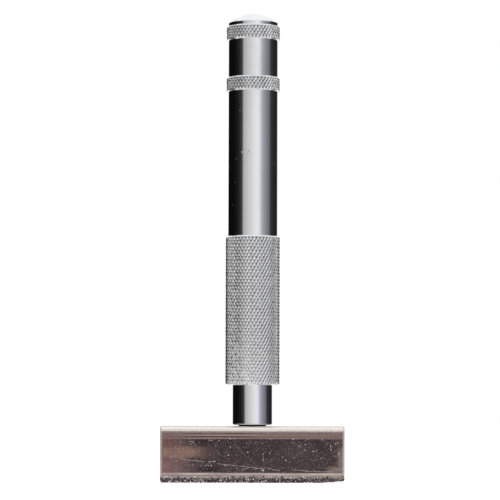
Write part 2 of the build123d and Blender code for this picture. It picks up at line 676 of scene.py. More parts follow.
@dataclass(frozen=True)
class WornPlate:
    """Worn, brown-tinted plating on the bar, with stains, specks, drawn lines and scratches.

    Attributes:
        lines: the height of each drawn line in mm, and how much lighter or darker the bar is there.
        speck_kinds: spacing in mm, size in shares of it and strength of each kind of speck.
        scratches: the points that each scratch joins, in mm.
    """

    name: str = "worn_plate"
    left: tuple = (0.262, 0.160, 0.148)
    right: tuple = (0.075, 0.054, 0.056)
    streak_tint: tuple = (0.10, 0.06, 0.052)
    # The rounded upper edge's colour: a painted reflection of the light above
    pale: tuple = (0.90, 0.82, 0.78)
    top_line_tint: tuple = (0.35, 0.33, 0.32)
    shoulder_tint: tuple = (0.30, 0.212, 0.196)
    upper_shoulder_tint: tuple = (0.40, 0.30, 0.28)
    speck_tint: tuple = (0.66, 0.60, 0.59)
    mark_tint: tuple = (0.80, 0.74, 0.73)
    end_tint: tuple = (0.74, 0.64, 0.64)
    # The lower bevel's tints: a painted reflection of the pale floor below
    bevel_reflection_tints: tuple = ((0.52, 0.43, 0.405), (0.58, 0.475, 0.41))
    patches: tuple = each(
        Patch, (-17.2, 7.45, 5.6, 1.5, (0.335, 0.205, 0.168), 0.95, 0.9),
        (-11.4, 7.4, 2.6, 1.4, (0.17, 0.098, 0.092), 0.75, 2.4),
        (-20.95, 7.5, 0.45, 0.9, (0.42, 0.26, 0.15), 0.5, 0.5),
        (-20.4, 10.4, 2.8, 1.5, (0.25, 0.125, 0.125), 0.7),
        (-20.9, 4.3, 1.3, 1.2, (0.31, 0.155, 0.175), 0.6, 1.4),
        (-12.4, 9.6, 2.6, 0.8, (0.055, 0.033, 0.040), 0.8),
        (-10.8, 3.3, 2.6, 0.55, (0.030, 0.020, 0.024), 0.8),
        (-9.3, 7.6, 1.5, 1.2, (0.105, 0.075, 0.075), 0.8),
        (-4.0, 6.6, 3.0, 1.0, (0.085, 0.050, 0.062), 0.6),
        (10.5, 8.0, 4.5, 2.0, (0.098, 0.078, 0.080), 0.6),
        (21.8, 9.4, 2.6, 2.2, (0.165, 0.115, 0.115), 0.8, 2.0),
        (22.0, 5.2, 2.2, 3.0, (0.30, 0.23, 0.23), 0.9, 1.8),
        (21.6, 3.2, 3.2, 1.0, (0.31, 0.235, 0.215), 0.85, 1.8),
    )
    lines: tuple = ((11.86, -0.45), (11.40, 0.60), (11.10, -0.75), (10.74, 0.35))
    speck_kinds: tuple = ((0.26, 0.17, 0.85), (0.42, 0.10, 0.8), (1.4, 0.04, 1.0))
    flecks: tuple = each(
        Fleck, (-14.2, 9.75, 0.26, 0.22), (-14.6, 9.3), (-13.8, 9.25), (-14.9, 9.9, 0.5, 0.07),
        (-9.8, 10.2, 0.22, 0.18), (-10.3, 10.3), (-8.0, 10.2), (-17.3, 9.9, 0.08, 0.25),
        (-15.8, 7.4, 0.14, 0.12), (-9.1, 5.2, 0.28, 0.14), (-6.5, 4.2, 0.12, 0.25),
        (-11.2, 4.2, 0.18, 0.12), (-10.6, 4.15), (-9.9, 4.2), (-5.3, 8.6, 0.14, 0.3),
        (-1.1, 7.4, 0.22, 0.2), (-5.3, 10.6, 0.2, 0.2), (1.2, 9.7), (4.2, 7.2, 0.18, 0.24),
        (2.6, 6.9, 0.09, 0.3), (2.65, 6.2, 0.09, 0.25), (2.6, 5.5, 0.11, 0.35),
        (7.3, 6.2, 0.18, 0.14), (10.1, 6.1, 0.13, 0.16), (10.1, 9.6, 0.3, 0.09),
        (11.3, 8.9, 0.34, 0.09), (12.8, 9.3, 0.25, 0.13), (12.6, 7.9, 0.15, 0.22),
        (14.8, 7.6, 0.4, 0.08), (15.6, 7.9, 0.2, 0.12), (18.9, 8.9, 0.12, 0.3),
        (19.0, 8.0, 0.16, 0.16), (20.1, 9.5, 0.2, 0.16), (19.9, 6.5, 0.2, 0.1),
        (9.9, 10.55, 0.3, 0.12), (13.2, 10.5, 0.16, 0.12), (16.9, 10.5), (4.4, 10.5),
        (13.1, 2.75, 0.2, 0.12), (-18.3, 5.2), (-19.6, 6.3, 0.1, 0.1),
    )
    scratches: tuple = (
        ((-17.2, 5.75), (-15.2, 5.45), (-11.3, 5.08)), ((-10.5, 4.95), (-9.1, 5.25)),
        ((-8.2, 4.6), (-2.0, 3.95), (2.6, 3.4)), ((0.6, 3.4), (3.2, 3.65), (6.6, 2.95)),
        ((9.5, 3.25), (14.0, 2.85), (19.2, 2.7)), ((-2.6, 3.1), (-0.8, 3.7)),
    )
    scratch_width: float = 0.07
    block_low: float = 1.65
    bevel_top: float = 2.4
    shoulder_low: float = 10.55
    arc_low: float = 12.42
    top_line: float = 13.42

    def make(self) -> bpy.types.Material:
        """Lay stains, drawn lines, specks, marks and the pale edges over the plate: the worn ends,
        and painted reflections of the floor on the lower bevel and of the light above on the
        rounded upper edge.

        Returns:
            The finished material.
        """
        bench = Bench(self.name)
        place = bench.place()
        x, y, z = (part / MM for part in bench.parts(place))
        cloud = bench.noise(place, 3.2, 5.0, 0.62)
        fine = bench.noise(place, 0.55, 3.0, 0.6)
        dust = bench.noise(place, 0.24, 2.0, 0.6)
        streak = bench.noise(place, 0.8, 4.0, 0.6, squeeze=(0.16, 1, 1))
        drawn = bench.noise(place, 0.42, 2.0, squeeze=(0.035, 1, 1))
        front = y.rise(-5.0, -5.6)

        # The plate: lighter and browner to the left, with stains
        reach = (x + (cloud - 0.5) * 7.0).rise(-23.0, -10.5)
        colour = bench.blend(reach, self.left, self.right)
        for patch in self.patches:
            colour = bench.blend(patch.at(x, z, cloud) * front, colour, patch.colour)
        brown = streak.rise(0.56, 0.70) * reach.rise(0.75, 0.1)
        colour = bench.blend(brown * 0.5, colour, self.streak_tint)

        # The shoulder, and the drawn lines on it
        shoulder = z.rise(self.shoulder_low - 0.03, self.shoulder_low + 0.03)
        upper = (z + (drawn - 0.5) * 0.5).rise(11.5, 12.3)
        tint = bench.blend(upper, self.shoulder_tint, self.upper_shoulder_tint)
        colour = bench.blend(shoulder * (0.70 + reach * 0.2), colour, tint)
        tone = 0.36 + fine * 0.60 + dust * 0.64
        bare = x.rise(4.0, -3.0) * 0.5 + x.rise(19.5, 17.0) * 0.3
        uneven = (drawn.rise(0.35, 0.62) * 1.6 + 0.15) * (x.rise(-18.0, -13.5) * bare + 0.2)
        for height, gain in self.lines:
            tone = tone + (z - height).absolute().rise(0.15, 0.03) * uneven * gain
        tone = tone.at_least(0.15)
        grey = bench.node("ShaderNodeCombineColor", sockets=dict.fromkeys(range(3), tone))
        colour = bench.blend(1.0, colour, grey, "MULTIPLY")

        # Specks and marks
        specks = self._specks(bench, place, cloud, reach) * (1 - shoulder * 0.75)
        marks = self._marks(x, z, fine) * front
        colour = bench.blend(specks * 0.85, colour, self.speck_tint)
        colour = bench.blend(marks * 0.8, colour, self.mark_tint)

        # The worn ends, the lower bevel with a painted reflection of the floor, the dark joint
        # under it and the rounded upper edge with a painted reflection of the light above
        out = x.absolute()
        ends = (out + (fine - 0.5) * 0.3).rise(21.70, 22.0) * out.rise(22.24, 22.16)
        colour = bench.blend(ends * 0.9, colour, self.end_tint)
        # The lower bevel, painted lighter as a reflection of the pale floor below
        bevel = z.rise(self.bevel_top + 0.10, self.bevel_top - 0.08)
        bright = 0.62 + (streak - 0.5) * 1.6 + reach * 0.2
        tint = bench.blend(x.rise(3.0, 20.0), *self.bevel_reflection_tints)
        colour = bench.blend(bevel * bright, colour, tint)
        seam = (z + (fine - 0.5) * 0.2).rise(self.block_low + 0.22, self.block_low + 0.06)
        colour = bench.blend(seam * 0.6, colour, self.right)
        # The rounded upper edge, painted pale as a reflection of the light above
        edge = (z + (fine - 0.5) * 0.25).rise(self.arc_low - 0.14, self.arc_low + 0.18)
        line = z.rise(self.top_line - 0.06, self.top_line + 0.06)
        colour = bench.blend(edge, colour, bench.blend(line * 0.55, self.pale, self.top_line_tint))

        rough = 0.24 + cloud * 0.12 + specks * 0.15 - edge * 0.06 + ends * 0.3
        grain = bench.bump(fine, 6e-6, 0.5)
        pits = bench.bump(specks.at_least(marks), 14e-6, 0.8, under=grain)
        return bench.surface(Shader.PRINCIPLED, Base_Color=colour, Metallic=1.0, Roughness=rough,
                             Normal=pits)

    def _specks(self, bench: Bench, place: Shade, cloud: Shade, reach: Shade) -> Shade:
        """Return the fine pits of bare metal: bent spots of three sizes, thicker to the right.

        Args:
            bench: where the nodes go.
            place: the place on the bar.
            cloud: the noise that they gather in.
            reach: how far to the right the place is.

        Returns:
            1 in a pit and 0 beside it.
        """
        kinds = []
        for spacing, size, share in self.speck_kinds:
            strayed = bench.noise(place, spacing / 1.6, 1.0)
            near, pick = bench.cells(place, spacing)
            wanted = (pick * 1.7 + cloud - 1.34 + (0.28 + reach * 0.72) * 0.62).rise(0.0, 0.6)
            spots = (size + pick * 0.12 + (strayed - 0.5) * 0.45 - near).rise(0.0, 0.10)
            kinds.append(spots * wanted * share)
        return reduce(Shade.at_least, kinds)

    def _marks(self, x: Shade, z: Shade, fine: Shade) -> Shade:
        """Return the bright nicks and scratches.

        A nick is an ellipse. A scratch joins its points in straight lines: the distance from a line
        is the distance from its nearest point, found along the line and kept between its ends.

        Args:
            x, z: the place on the bar, in mm.
            fine: the noise that frays the nicks and breaks the scratches up.

        Returns:
            1 on a mark and 0 beside it.
        """
        marks = [fleck.at(x, z, fine) for fleck in self.flecks]
        broken = fine.rise(0.30, 0.50)
        for start, end in (pair for line in self.scratches for pair in zip(line, line[1:])):
            length = math.dist(start, end)
            way = [(b - a) / length for a, b in zip(start, end)]
            across, up = x - start[0], z - start[1]
            along = (across * way[0] + up * way[1]).at_least(0.0).at_most(length)
            across, up = across - along * way[0], up - along * way[1]
            away = (across * across + up * up) ** 0.5
            marks.append(away.rise(self.scratch_width, 0.02) * broken * 0.7)
        return reduce(Shade.at_least, marks)


@dataclass(frozen=True)
class GritFinish:
    """Diamond grains, dark, grey, clear or honey-coloured, in a dull grey-brown metal bond.

    Attributes:
        lumps: how far apart the skin's fine lumps lie.
        lump_depth: how deep they are, in metres.
    """

    name: str = "diamond_grit"
    bond: tuple = (0.60, 0.50, 0.47)
    low_bond: tuple = (0.085, 0.062, 0.064)
    grain_tints: tuple = (
        (0.0, (0.006, 0.005, 0.006)), (0.48, (0.022, 0.013, 0.015)),
        (0.60, (0.12, 0.080, 0.082)), (0.72, (0.34, 0.28, 0.275)),
        (0.86, (0.80, 0.74, 0.72)), (0.94, (0.80, 0.74, 0.72)), (0.97, (0.42, 0.34, 0.19)),
    )
    lumps: float = 0.16
    lump_depth: float = 20e-6

    def make(self) -> bpy.types.Material:
        """Tint each grain by its tone, and darken the bond lower down.

        Returns:
            The finished material.
        """
        bench = Bench(self.name)
        place = bench.place()
        grain = bench.mark(Mark.GRAIN)
        fine = bench.noise(place, self.lumps, 3.0, 0.7)
        height = bench.parts(place)[2] / MM
        upper = (height + (fine - 0.5) * 0.8).rise(0.85, 1.45)
        bond = bench.blend(upper, self.low_bond, self.bond)
        bond = bench.blend(fine.rise(0.62, 0.40) * 0.6, bond, self.low_bond)
        colour = bench.blend(grain, bond, bench.ramp(bench.mark(Mark.TONE), self.grain_tints))
        return bench.surface(Shader.PRINCIPLED, Base_Color=colour, Metallic=0.25,
                             Roughness=0.45 - grain * 0.25,
                             Normal=bench.bump(fine, self.lump_depth, 0.7))


# The dresser's three pieces


@dataclass
class Band:
    """Rings of points stacked along an upright axis.

    Attributes:
        heights: each ring's height, in mm.
        radii: one radius for each ring and column, in mm.
        marks: what the points carry.
        rows: each ring's height counted in half teeth, for a knurled band.
        cells: how many columns there are in half a tooth, or 0 on a band that has no knurl.
    """

    heights: np.ndarray
    radii: np.ndarray
    marks: dict[Mark, np.ndarray] = field(default_factory=dict)
    rows: np.ndarray | None = None
    cells: int = 0

    def place(self, draft: Draft) -> np.ndarray:
        """Add the band to a mesh: x and y are each radius times the cosine and sine of its turn.

        Args:
            draft: the mesh in the making.

        Returns:
            The point numbers, one row for each ring.
        """
        angle = 2 * math.pi * turns(self.radii.shape[1])
        x = self.radii * np.cos(angle)
        y = self.radii * np.sin(angle)
        z = np.broadcast_to(self.heights[:, None], x.shape)
        rings = draft.add_points(np.stack([x, y, z], axis=-1), self.marks)
        if self.cells:
            draft.add_lattice(rings, self.rows, self.cells)
        else:
            draft.add_tube(rings)
        return rings


def plain_band(outline: np.ndarray | list, columns: int, marks: dict | None = None) -> Band:
    """Turn an outline of radii and heights into a band with that many columns."""
    radii, heights = np.array(outline, dtype=float).T
    return Band(heights, np.repeat(radii[:, None], columns, axis=1), marks or {})


def stack(draft: Draft, bands: list[Band]) -> tuple[np.ndarray, np.ndarray]:
    """Join bands one above the other into a tube.

    Args:
        draft: the mesh in the making.
        bands: the bands in order.

    Returns:
        The point numbers of the very first and the very last ring.
    """
    placed = [band.place(draft) for band in bands]
    for below, above in zip(placed, placed[1:]):
        low, high = below[-1], above[0]
        draft.add_bridge(low, high, turns(len(low)), turns(len(high)))
    return placed[0][0], placed[-1][-1]


@dataclass(frozen=True)
class Thread:
    """A metric screw thread.

    Attributes:
        crest, flank: how wide half a crest and a flank are, in shares of half a pitch.
        step: how far apart the rings lie.
        columns: how many columns go round.
    """

    outer: float = 3.0
    pitch: float = 1.0
    depth: float = 0.55
    crest: float = 0.125
    flank: float = 0.625
    step: float = 0.125
    columns: int = 48

    def band(self, start: float, stop: float, clearance: float = 0.0) -> Band:
        """Return a length of thread.

        The height less the share of a turn, counted in pitches, is a sawtooth along the helix. Its
        distance from the nearest crest, cut flat at crest and root, gives the depth.

        Args:
            start: the first ring's height, in mm.
            stop: the height before which the last ring lies.
            clearance: how much wider a nut's thread is.

        Returns:
            The band.
        """
        heights = np.arange(start, stop, math.copysign(self.step, stop - start))
        along = heights[:, None] / self.pitch - turns(self.columns)
        from_crest = 2 * np.abs(along - np.round(along))
        share = np.clip((from_crest - self.crest) / self.flank, 0.0, 1.0)
        return Band(heights, self.outer + clearance - self.depth * share)


@dataclass
class Handle:
    """The handle: one bar, turned to its profile, knurled on grip and collars, and plated.

    Attributes:
        tip_flat: the range that the teeth's flat tips are drawn from, in shares of the depth.
        root_fill: how far the grooves' roots are rounded, in shares of the depth.
        collar_slant, grip_slant: the depth of the grooves that fall to the right, in shares.
        collar_grime_and_shade, grip_grime_and_shade: the mark that a groove's bottom carries, which
        darkens it with soiling and painted shade.
        cells: how many columns and rings there are in half a tooth.
    """

    stud_bottom: float = 6.183
    stud_chamfer: float = 0.6
    thread: Thread = Thread()
    thread_top: float = 12.9
    seat_radius: float = 3.35
    seat_bottom: float = 13.65
    cone_bottom: float = 13.93
    neck_bottom: float = 13.97
    neck_radius: float = 4.8
    foot_radius: float = 0.26
    grip_bottom: float = 23.6
    grip_top: float = 59.9
    grip_radius: float = 6.625
    shaft_radius: float = 6.0
    lower_collar: tuple[float, float] = (95.4, 98.9)
    upper_collar: tuple[float, float] = (108.0, 111.5)
    collar_radius: float = 6.55
    dome_bottom: float = 112.35
    dome_edge: float = 0.1
    dome_top: float = 115.0
    dome_rings: int = 26
    knurl_pitch: float = 0.91
    knurl_angle: float = 30.0
    knurl_end: float = 0.35
    knurl_end_rise: float = 0.1
    tip_flat: tuple[float, float] = (0.20, 0.46)
    root_fill: float = 0.05
    collar_depth: float = 0.28
    collar_slant: float = 0.72
    collar_grime_and_shade: float = 1.0
    grip_depth: float = 0.25
    grip_slant: float = 0.75
    grip_grime_and_shade: float = 0.88
    cells: int = 4
    columns: int = 144
    edge: float = 0.06
    seed: int = 11

    def knurled(self, bottom: float, top: float, tip_radius: float, depth: float, slant: float,
                grime_and_shade: float) -> Band:
        """Return a knurled band.

        Column and row are counted in half teeth. Half their sum and half their difference count the
        grooves of the two crossing sets, and the larger distance of the two from a whole number is
        0 on a tooth's tip and 0.5 in a groove. Each tip is cut flat at a random distance. Roots are
        rounded with a hyperbola, and a cone at each end cuts the teeth down to the plain radius.

        Args:
            bottom: the band's lower end, in mm.
            top: its upper end, in mm.
            tip_radius: the radius over the tips, in mm.
            depth: how deep the grooves would be under sharp tips, in mm.
            slant: how much of the full depth the grooves that fall to the right have.
            grime_and_shade: the mark that the groove's bottom carries, which darkens it with
                soiling and painted shade.

        Returns:
            The band.
        """
        teeth = round(2 * math.pi * tip_radius / self.knurl_pitch)
        half_height = self.knurl_pitch / math.tan(math.radians(self.knurl_angle)) / 2
        toothed = top - bottom - 2 * self.knurl_end
        count = round(toothed / half_height)
        half_height = toothed / count
        over = self.knurl_end / half_height
        rows = np.concatenate([[-over, -0.25], np.arange(count * self.cells + 1) / self.cells,
                               [count + 0.25, count + over]])
        columns = np.arange(2 * teeth * self.cells) / self.cells
        along, across = (rows[:, None] + columns) / 2, (rows[:, None] - columns) / 2
        falling, rising = (np.abs(part - np.round(part)) for part in (along, across))
        away = 2 * np.maximum(slant * falling, rising)
        rng = np.random.default_rng(self.seed)
        cut = rng.uniform(*self.tip_flat, size=(count + 4, 2 * teeth + 2))
        tooth = [np.round(part).astype(int) for part in (along, across)]
        left = 1 - np.maximum(away, cut[tooth[0] % (count + 4), tooth[1] % (2 * teeth)])
        rooted = 1 - (np.hypot(left, self.root_fill) - self.root_fill)
        sunk = rooted - self.tip_flat[0]
        heights = bottom + self.knurl_end + rows * half_height
        inward = np.minimum(heights - bottom, top - heights)[:, None]
        end_radius = self.shaft_radius + self.knurl_end_rise
        cone = end_radius + inward * (tip_radius - end_radius) / self.knurl_end
        radii = np.minimum(tip_radius - depth * sunk.clip(0, None), cone)
        inside = ((rows >= 0) & (rows <= count))[:, None]
        # The groove mark darkens the groove bottoms: soiling, and painted shade where the teeth
        # shade their grooves
        groove = inside * np.clip(sunk / (1 - self.tip_flat[0]) * grime_and_shade, 0.021, 1.0)
        return Band(heights, radii, {Mark.GROOVE: groove}, rows, self.cells)

    def bands(self) -> list[Band]:
        """Return every band from the stud's end to the dome, the lowest first."""
        shaft = self.shaft_radius
        (low_start, low_end), (high_start, high_end) = self.lower_collar, self.upper_collar
        collar = (self.collar_radius, self.collar_depth, self.collar_slant, self.collar_grime_and_shade)
        start = (self.thread.outer - self.stud_chamfer, self.stud_bottom)
        stud = self.thread.band(self.stud_bottom + 0.1, self.thread_top)
        stud.radii = np.minimum(stud.radii, (start[0] + stud.heights - start[1])[:, None])
        root = self.thread.outer - self.thread.depth
        below_grip = rounded([
            (root, self.thread_top, 0), (root, self.seat_bottom, 0),
            (self.seat_radius, self.seat_bottom, 0.04), (self.seat_radius, self.cone_bottom, 0),
            (self.seat_radius + 0.06, self.cone_bottom + 0.002, 0),
            (self.neck_radius, self.neck_bottom, self.foot_radius),
            (self.neck_radius, self.grip_bottom, 0),
            (shaft + self.knurl_end_rise, self.grip_bottom, 0),
        ], 8)
        # Groove mark 2 on the seat ring under the cone: a painted shadow of the gap between the
        # neck and the head
        dark = np.where(below_grip[:, 1] <= self.cone_bottom, 2.0, 0.0)[:, None]
        tip = rounded([(shaft, high_end, 0), (shaft, self.dome_bottom, self.edge),
                       (shaft - self.dome_edge, self.dome_bottom, 0)], 8)
        return [
            plain_band([start, (start[0] + 0.05, start[1] + 0.05)], self.thread.columns),
            stud,
            plain_band(below_grip, self.columns, {Mark.GROOVE: dark}),
            self.knurled(self.grip_bottom, self.grip_top, self.grip_radius, self.grip_depth,
                         self.grip_slant, self.grip_grime_and_shade),
            plain_band([(shaft, self.grip_top), (shaft, low_start)], self.columns),
            self.knurled(low_start, low_end, *collar),
            plain_band([(shaft, low_end), (shaft, high_start)], self.columns),
            self.knurled(high_start, high_end, *collar),
            plain_band(tip, self.columns),
            self.dome(),
        ]

    def dome(self) -> Band:
        """Return the domed end: each radius is the cap's curvature times the sine of its angle."""
        rise = self.dome_top - self.dome_bottom
        base = self.shaft_radius - self.dome_edge
        curvature = (base**2 + rise**2) / (2 * rise)
        angle = math.asin(base / curvature) * np.linspace(1, 0, self.dome_rings)[:-1]
        heights = self.dome_top - curvature + curvature * np.cos(angle)
        return plain_band(np.stack([curvature * np.sin(angle), heights], axis=1), self.columns)

    def build(self) -> bpy.types.Object:
        """Make the whole handle as one closed mesh."""
        draft = Draft()
        first, last = stack(draft, self.bands())
        draft.add_fan(first, (0, 0, self.stud_bottom), first=True)
        draft.add_fan(last, (0, 0, self.dome_top))
        handle = draft.finish("plated_handle", BrightPlate().make(), sharp=14)
        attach(handle, BODY)
        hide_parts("handle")
        return handle


@dataclass
class HeadBlock:
    """The head: a short length of square bar with a tapped blind hole in its top.

    Attributes:
        low, high: the corners of its box, in metres.
        spacing: how far apart the points of its section lie.
        wave, nicks: the ripples that wear its long edges, and how deep.
    """

    low: Vector
    high: Vector
    top_radius: float = 1.2
    shoulder_height: float = 1.9
    shoulder_setback: float = 0.15
    bevel_height: float = 0.75
    bevel_setback: float = 0.2
    end_chamfer: float = 0.35
    hole_clearance: float = 0.05
    hole_bottom: float = 5.183
    hole_tip: float = 3.35
    thread: Thread = Thread()
    spacing: float = 0.5
    sections: int = 88
    wave: Ripple = Ripple(3, 7.0)
    wave_depth: float = 0.008
    nicks: Ripple = Ripple(4, 0.9)
    nick_from: float = 0.6
    nick_depth: float = 0.05

    def outline(self) -> np.ndarray:
        """Return the section as y and z in mm, from the top's front edge down and round."""
        front = -self.high.y / MM
        low, high = self.low.z / MM, self.high.z / MM
        shoulder = front + self.shoulder_setback
        return section([
            (shoulder + 2 * self.top_radius, high, 0.0),
            (shoulder, high, self.top_radius),
            (front, high - self.top_radius - self.shoulder_height, 0.1),
            (front, low + self.bevel_height, 0.12),
            (front + self.bevel_setback, low, 0.05),
            (0.0, low, 0.0),
        ], 8, self.spacing)

    def build(self) -> bpy.types.Object:
        """Make the bar as one closed mesh, with a window in its top for the hole."""
        draft = Draft()
        places, inset = stations(self.high.x / MM, self.end_chamfer, self.sections, 3)
        centre = np.array([0.0, (self.low.z + self.high.z) / 2 / MM])
        out = self.outline() - centre
        points = centre + out * (1 - inset[:, None, None] / np.abs(out).max(axis=0))
        along = np.broadcast_to(places[:, None, None], (*points.shape[:2], 1))
        points = self._worn(np.concatenate([along, points], axis=2), centre)
        rings = draft.add_points(points)
        draft.add_fan(rings[0], (places[0], *centre), first=True)
        draft.add_fan(rings[-1], (places[-1], *centre))
        inside = np.flatnonzero(np.abs(places) < self.high.y / MM - 1)
        keep = np.ones((len(rings) - 1, rings.shape[1]), dtype=bool)
        keep[inside[0]:inside[-1], -1] = False
        draft.add_tube(rings, keep)
        self._add_hole(draft, rings[inside], points[inside])
        block = draft.finish("worn_head", WornPlate().make(), sharp=24)
        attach(block, BODY)
        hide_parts("head_block")
        return block

    def _worn(self, points: np.ndarray, centre: np.ndarray) -> np.ndarray:
        """Pull the bar's long edges in by a few hundredths, more where the small ripple is high.

        Args:
            points: the sections' points.
            centre: the y and z that they are pulled towards.

        Returns:
            The points, moved on all sides but the top and the bottom.
        """
        y, z = points[..., 1], points[..., 2]
        high = self.high.z / MM
        nick = np.clip(self.nicks.at(points) - self.nick_from, 0, None) * self.nick_depth
        wave = (1 + self.wave.at(points).clip(-1, 1)) * self.wave_depth
        corner = np.abs(y) > self.high.y / MM - self.top_radius
        pull = wave + nick * (corner & (z > high - self.top_radius * 0.6))
        moved = points.copy()
        toward = points[..., 1:] - (0.0, centre[1])
        moved[..., 1:] -= toward / np.linalg.norm(toward, axis=-1, keepdims=True) * pull[..., None]
        flat = (z > high - TOUCH) | (z < self.low.z / MM + TOUCH)
        moved[..., 2] = np.where(flat, z, moved[..., 2])
        return moved

    def _add_hole(self, draft: Draft, rings: np.ndarray, points: np.ndarray) -> None:
        """Sink the tapped hole and join it to the window in the top.

        Args:
            draft: the mesh in the making.
            rings: the point numbers of the sections that the window cuts.
            points: their places.
        """
        window, places = (np.concatenate([part[:, 0], part[::-1, -1]]) for part in (rings, points))
        share = np.arctan2(places[:, 1], places[:, 0]) / (2 * math.pi) % 1.0
        order = np.argsort(share)
        top, bottom = self.high.z / MM, self.hole_bottom
        outer, columns = self.thread.outer + self.hole_clearance, self.thread.columns
        first, last = stack(draft, [
            plain_band([(outer, top), (outer, top - 0.05)], columns),
            self.thread.band(top - 0.1, bottom + 0.2, self.hole_clearance),
            plain_band([(outer, bottom + 0.05), (outer, bottom)], columns),
        ])
        draft.add_bridge(window[order], first, share[order], turns(columns))
        draft.add_fan(last, (0, 0, self.hole_tip))


@dataclass
class GritLayer:
    """The layer of diamond grit in its metal bond, worn thin at one lower corner.

    Attributes:
        low, high: the corners of its box, in metres.
        sink: how far the bond lies inside the box.
        lower_radius, edge_radius: how the bond and the grains round its lower edges.
        lumps, lump_height: the ripple of the bond's skin and its height.
    """

    low: Vector
    high: Vector
    sink: float = 0.11
    lower_radius: float = 0.42
    edge_radius: float = 0.6
    worn_length: float = 5.9
    worn_height: float = 0.45
    side_grains: int = 2000
    bottom_grains: int = 2300
    grain_size: tuple[float, float] = (0.10, 0.27)
    spacing: float = 0.32
    sections: int = 138
    lumps: Ripple = Ripple(8, 0.8)
    lump_height: float = 0.02
    seed: int = 5
    length: float = field(init=False)
    side: float = field(init=False)
    top: float = field(init=False)

    def __post_init__(self) -> None:
        """Work out the bond's half length and half depth and the layer's top."""
        self.length, self.side = self.high.x / MM - self.sink, self.high.y / MM - self.sink
        self.top = self.high.z / MM

    def lifted(self, points: np.ndarray) -> np.ndarray:
        """Raise the worn corner.

        Args:
            points: places in the layer.

        Returns:
            The places, raised by the corner's slope at the bottom and by nothing at the top.
        """
        start = self.high.x / MM - self.worn_length
        slope = np.clip((points[..., 0] - start) / self.worn_length, 0, None) * self.worn_height
        moved = points.copy()
        moved[..., 2] += slope * (1 - np.clip(points[..., 2] / self.top, 0, 1))
        return moved

    def bond(self, draft: Draft) -> None:
        """Add the bond, a bar with rounded lower edges and a lumpy skin, to the mesh."""
        half = [(-self.side, self.top, 0), (-self.side, self.sink, self.lower_radius),
                (0, self.sink, 0)]
        y, z = section(half, 5, self.spacing).T
        places, inset = stations(self.length, self.lower_radius, self.sections, 5)
        y = y * (1 - 0.5 * inset[:, None] / self.side)
        z = np.maximum(z, self.sink + inset[:, None])
        points = np.stack([np.broadcast_to(places[:, None], y.shape), y, z], axis=-1)
        skin = np.abs(self.lumps.at(points)) * self.lump_height * (z < self.top - TOUCH)
        points = points + skin[..., None] * np.stack([0 * y, -np.sign(y), 1 + 0 * y], axis=-1)
        rings = draft.add_points(self.lifted(points), {Mark.GRAIN: 0.0, Mark.TONE: 0.5})
        draft.add_tube(rings)
        draft.add_fan(rings[0], (places[0], 0, self.top / 2), first=True)
        draft.add_fan(rings[-1], (places[-1], 0, self.top / 2))

    def seats(self, rng: np.random.Generator) -> np.ndarray:
        """Share out the grains round the four sides and all over the underside.

        A side grain's walk round the bond gives its x and y, and a random number its height. Near
        the lower edge the arc of the edge radius draws it in.

        Args:
            rng: the source of random numbers.

        Returns:
            Each grain's place.
        """
        side, length, count = self.side, self.length, self.side_grains
        around = 4 * (side + length)
        walk = (np.arange(count) + rng.uniform(0, 1, count)) / count * around
        corners = np.cumsum([0, 2 * length, 2 * side, 2 * length, 2 * side])
        x = np.interp(walk, corners, [-length, length, length, -length, -length])
        y = np.interp(walk, corners, [-side, -side, side, side, -side])
        z = self.sink + (self.top - self.sink - 0.15) * rng.uniform(0, 1, count) ** 1.5
        below = np.clip(self.edge_radius - z, 0, None)
        inset = self.edge_radius - np.sqrt(self.edge_radius**2 - below**2)
        x = np.sign(x) * np.minimum(np.abs(x), length - inset)
        y = np.sign(y) * np.minimum(np.abs(y), side - inset)
        count = self.bottom_grains
        under = [rng.uniform(-1, 1, count) * (half - self.lower_radius) for half in (length, side)]
        bottom = np.stack([*under, np.full(count, self.sink)], axis=1)
        return np.concatenate([np.stack([x, y, z], axis=1), bottom])

    def grains(self, draft: Draft) -> None:
        """Add the grains: blocks with cut corners, each turned, stretched and toned at random.

        Of a cube's 27 points from -1 to 1, those with two coordinates that aren't 0 are the block's
        corners. Its triangles face those with three such coordinates, and its squares those with
        one. A random unit quaternion of part w and vector q turns a point p to
        p + 2 q x (q x p + w p).

        Args:
            draft: the mesh in the making.
        """
        cube = np.array(list(np.ndindex(3, 3, 3)), dtype=float) - 1
        squares, block, triangles = (cube[np.abs(cube).sum(axis=1) == kind] for kind in (1, 2, 3))
        rng = np.random.default_rng(self.seed)
        seats = self.seats(rng)
        count = len(seats)
        small, large = self.grain_size
        size = small + (large - small) * rng.uniform(0, 1, (count, 1)) ** 1.7
        shape = size * rng.uniform(0.65, 1.15, (count, 3)) / math.sqrt(2)
        quaternion = rng.normal(size=(count, 4))
        quaternion /= np.linalg.norm(quaternion, axis=1, keepdims=True)
        w, q = quaternion[:, None, :1], quaternion[:, None, 1:]
        points = block * shape[:, None]
        points = points + 2 * np.cross(q, np.cross(q, points) + w * points) + seats[:, None]
        limit = np.array(self.high) / MM
        points = self.lifted(np.clip(points, limit * (-1, -1, 0), limit))
        tone = rng.uniform(0, 1, (count, 1))
        numbers = draft.add_points(points, {Mark.GRAIN: 1.0, Mark.TONE: tone})
        for ways in (triangles, squares):
            faces = np.array([self._facing(block, way) for way in ways])
            draft.add_faces(numbers[:, faces].reshape(-1, faces.shape[1]))

    @staticmethod
    def _facing(block: np.ndarray, way: np.ndarray) -> np.ndarray:
        """Find the face of a block that looks in one direction.

        Args:
            block: the block's corners.
            way: the direction.

        Returns:
            The numbers of the corners that reach furthest along it, by their angle about it.
        """
        reach = block @ way
        found = np.flatnonzero(reach > reach.max() - TOUCH)
        side = np.cross(way, (0.3, 0.5, 0.8))
        angle = np.arctan2(block[found] @ np.cross(way, side), block[found] @ side)
        return found[np.argsort(angle)]

